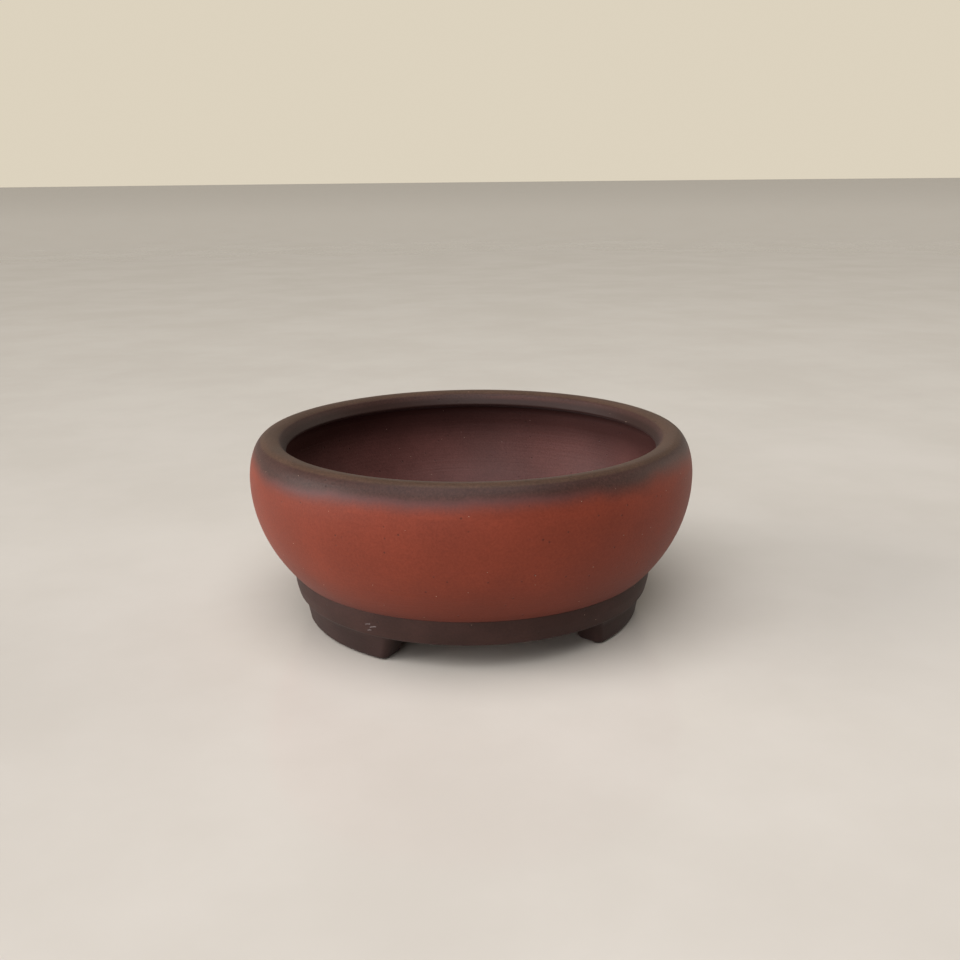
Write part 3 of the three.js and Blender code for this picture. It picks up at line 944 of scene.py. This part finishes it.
# ---------------------------------------------------------------- operators

# Grains: the piece that they sit in, its slot, grains per square metre, seed.
GRAIN_BEDS = (
    ("belly_wall_clay", "red_clay", 4200.0, 3), ("rolled_lip_clay", "smoked_clay", 3600.0, 8),
    ("base_ring_clay", "dark_clay", 3200.0, 5))


def turned(name, outline, clay):
    """A closed piece of the named clay, turned from an outline."""
    piece = shaped(name, outline, "Turned Clay", {"Material": bpy.data.materials[clay]})
    face_outwards(piece.data)
    return piece


class POT_OT_prepare_clay(bpy.types.Operator):
    """Builds the node groups and the clays that the pieces use"""

    bl_idname = "pot.prepare_clay"
    bl_label = "Clay and Tools"

    def execute(self, context):
        turned_clay_tree()
        foot_tree()
        grain_tree()
        clay_grain_group()
        turning_lines_group()
        smoke_veil_group()
        scene = context.scene
        red_clay(scene.pot_shape, scene.pot_finish)
        smoked_clay(scene.pot_finish)
        dark_clay(scene.pot_finish)
        sand_grain_clay(scene.pot_finish)
        return {"FINISHED"}


class POT_OT_belly_wall(bpy.types.Operator):
    """Turns the swelling wall, from the base ring to the joint under the lip"""

    bl_idname = "pot.belly_wall"
    bl_label = "Belly Wall"

    def execute(self, context):
        outline = wall_outline(context.scene.pot_shape)
        piece = turned("belly_wall_clay", outline, "fired_red_clay")
        hand_over(piece, "red_clay", "belly_wall")
        return {"FINISHED"}


class POT_OT_rolled_lip(bpy.types.Operator):
    """Turns the thick lip that rolls in over the mouth"""

    bl_idname = "pot.rolled_lip"
    bl_label = "Rolled Lip"

    def execute(self, context):
        outline = lip_outline(context.scene.pot_shape)
        piece = turned("rolled_lip_clay", outline, "smoked_lip_clay")
        hand_over(piece, "smoked_clay", "rolled_lip")
        return {"FINISHED"}


class POT_OT_base_ring(bpy.types.Operator):
    """Turns the stepped ring under the belly"""

    bl_idname = "pot.base_ring"
    bl_label = "Base Ring"

    def execute(self, context):
        piece = turned("base_ring_clay", ring_outline(), "dark_base_clay")
        hand_over(piece, "dark_clay", "base_ring")
        return {"FINISHED"}


class POT_OT_floor_slab(bpy.types.Operator):
    """Makes the flat floor, with its drainage hole and wire holes"""

    bl_idname = "pot.floor_slab"
    bl_label = "Floor Slab"

    def execute(self, context):
        piece = bpy.data.objects.new("floor_slab_clay", floor_mesh(context.scene.pot_shape))
        piece.data.materials.append(bpy.data.materials["fired_red_clay"])
        context.scene.collection.objects.link(piece)
        hand_over(piece, "red_clay", "floor_slab")
        return {"FINISHED"}


class POT_OT_feet(bpy.types.Operator):
    """Makes the three feet"""

    bl_idname = "pot.feet"
    bl_label = "Feet"

    def execute(self, context):
        shape = context.scene.pot_shape
        for node, turn in FOOT_TURNS.items():
            piece = shaped(node + "_clay", bpy.data.meshes.new(node), "Clay Foot", {
                "Turn": math.radians(turn), "Depth": shape.foot_depth, "Corner": shape.foot_corner,
                "Bottom Edge": shape.foot_edge, "Material": bpy.data.materials["dark_base_clay"]})
            face_outwards(piece.data)
            hand_over(piece, "dark_clay", node)
        return {"FINISHED"}


class POT_OT_sand_grains(bpy.types.Operator):
    """Scatters pale sand grains over the clay, half sunk in its skin"""

    bl_idname = "pot.sand_grains"
    bl_label = "Sand Grains"

    def execute(self, context):
        for host, slot_name, density, seed in GRAIN_BEDS:
            name = host.replace("_clay", "_grains")
            piece = shaped(name, bpy.data.objects[host].data.copy(), "Sand Grains", {
                "Density": density, "Seed": seed, "Material": bpy.data.materials["pale_sand"]})
            hand_over(piece, slot_name)
        return {"FINISHED"}


class POT_OT_stage(bpy.types.Operator):
    """Sets up the pale floor, the soft light and the camera"""

    bl_idname = "pot.stage"
    bl_label = "Stage"

    def execute(self, context):
        scene = context.scene
        scene.view_settings.view_transform = "Standard"
        make_floor(scene)
        make_sky(scene)
        make_lights(scene)
        make_camera(scene)
        return {"FINISHED"}


# ---------------------------------------------------------------- the stage

FLOOR_RADIUS = 30.0
SKY_BRIGHTNESS = 0.72  # as the camera sees it
SKY_GLOSS = 0.3  # as shiny surfaces mirror it
SKY_GLOW = 0.02  # as it lights the pot
VIEW_TURN = math.radians(-8.0)  # the camera stands this far round from the pot's front
CAMERA_DISTANCE = 359.9 * MM
CAMERA_HEIGHT = 145.9 * MM
CAMERA_PITCH = math.radians(15.72)
CAMERA_YAW = math.radians(0.47)
CAMERA_ROLL = math.radians(-0.58)
LENS = 40.43


def make_floor(scene):
    mesh = bpy.data.meshes.new("pale_floor")
    mesh.from_pydata([(x, y, 0.0) for x, y in circle(0, 0, FLOOR_RADIUS, 96)], [], [list(range(96))])
    mesh.materials.append(floor_material())
    pale_floor = bpy.data.objects.new("pale_floor", mesh)
    scene.collection.objects.link(pale_floor)


def make_sky(scene):
    world = bpy.data.worlds.new("soft_room")
    world.use_nodes = True
    nodes = Nodes(world.node_tree)
    background = world.node_tree.nodes["Background"]
    background.inputs["Color"].default_value = (1.0, 0.90, 0.72, 1.0)
    path = nodes.add("ShaderNodeLightPath").outputs
    seen = nodes.math("MULTIPLY", path["Is Camera Ray"], SKY_BRIGHTNESS - SKY_GLOW)
    mirrored = nodes.math("MULTIPLY", path["Is Glossy Ray"], SKY_GLOSS - SKY_GLOW)
    strength = nodes.math("ADD", SKY_GLOW, nodes.math("ADD", seen, mirrored))
    nodes.feed(background.inputs["Strength"], strength)
    scene.world = world


def make_lights(scene):
    """Soft light from far off."""
    # Name, degrees round from the camera, degrees up, spread in degrees, strength, colour.
    lights = (
        ("window", -80, 12, 45, 3.2, (1.0, 0.99, 0.98)),
        ("doorway", -20, 12, 45, 1.2, (1.0, 0.99, 0.98)),
        ("overhead", -20, 66, 65, 3.0, (0.97, 0.985, 1.0)),
        ("far_side", 110, 12, 45, 0.6, (1.0, 0.92, 0.80)),
    )
    for name, turn, up, spread, strength, colour in lights:
        data = bpy.data.lights.new(name, "SUN")
        data.angle = math.radians(spread)
        data.energy = strength
        data.color = colour
        light = bpy.data.objects.new(name, data)
        facing = VIEW_TURN + math.radians(turn)
        rise = math.radians(up)
        back = Vector((math.sin(facing) * math.cos(rise), -math.cos(facing) * math.cos(rise), math.sin(rise)))
        light.location = back
        light.rotation_euler = back.to_track_quat("Z", "Y").to_euler()
        scene.collection.objects.link(light)


def make_camera(scene):
    data = bpy.data.cameras.new("camera")
    data.sensor_width = 36.0
    data.lens = LENS
    data.clip_start = 0.01
    data.clip_end = 50.0
    camera = bpy.data.objects.new("camera", data)
    heading = Vector((math.sin(CAMERA_YAW) * math.cos(CAMERA_PITCH),
                      math.cos(CAMERA_YAW) * math.cos(CAMERA_PITCH), -math.sin(CAMERA_PITCH)))
    level_right = heading.cross(Vector((0, 0, 1))).normalized()
    level_up = level_right.cross(heading)
    right = level_right * math.cos(CAMERA_ROLL) + level_up * math.sin(CAMERA_ROLL)
    up = level_up * math.cos(CAMERA_ROLL) - level_right * math.sin(CAMERA_ROLL)
    axes = Matrix((right, up, -heading)).transposed().to_4x4()
    place = Matrix.Translation((0, -CAMERA_DISTANCE, CAMERA_HEIGHT))
    camera.matrix_world = Matrix.Rotation(VIEW_TURN, 4, "Z") @ place @ axes
    scene.collection.objects.link(camera)
    scene.camera = camera


# ---------------------------------------------------------------- panel and registration

class POT_PT_panel(bpy.types.Panel):
    """Lists the pot's pieces and settings in the sidebar"""

    bl_idname = "POT_PT_panel"
    bl_label = "Bonsai Pot"
    bl_space_type = "VIEW_3D"
    bl_region_type = "UI"
    bl_category = "Bonsai Pot"

    def draw(self, context):
        layout = self.layout
        for operator in OPERATORS:
            layout.operator(operator.bl_idname)
        for settings in (context.scene.pot_shape, context.scene.pot_finish):
            box = layout.box()
            for name in settings.__annotations__:
                box.prop(settings, name)


OPERATORS = (
    POT_OT_prepare_clay, POT_OT_belly_wall, POT_OT_rolled_lip, POT_OT_base_ring, POT_OT_floor_slab,
    POT_OT_feet, POT_OT_sand_grains, POT_OT_stage,
)
CLASSES = (PotShape, PotFinish, *OPERATORS, POT_PT_panel)


def register():
    for cls in CLASSES:
        bpy.utils.register_class(cls)
    bpy.types.Scene.pot_shape = bpy.props.PointerProperty(type=PotShape)
    bpy.types.Scene.pot_finish = bpy.props.PointerProperty(type=PotFinish)


def unregister():
    del bpy.types.Scene.pot_finish
    del bpy.types.Scene.pot_shape
    for cls in reversed(CLASSES):
        bpy.utils.unregister_class(cls)


def main():
    register()
    for operator in OPERATORS:
        group, name = operator.bl_idname.split(".")
        getattr(getattr(bpy.ops, group), name)()


if __name__ == "__main__":
    main()
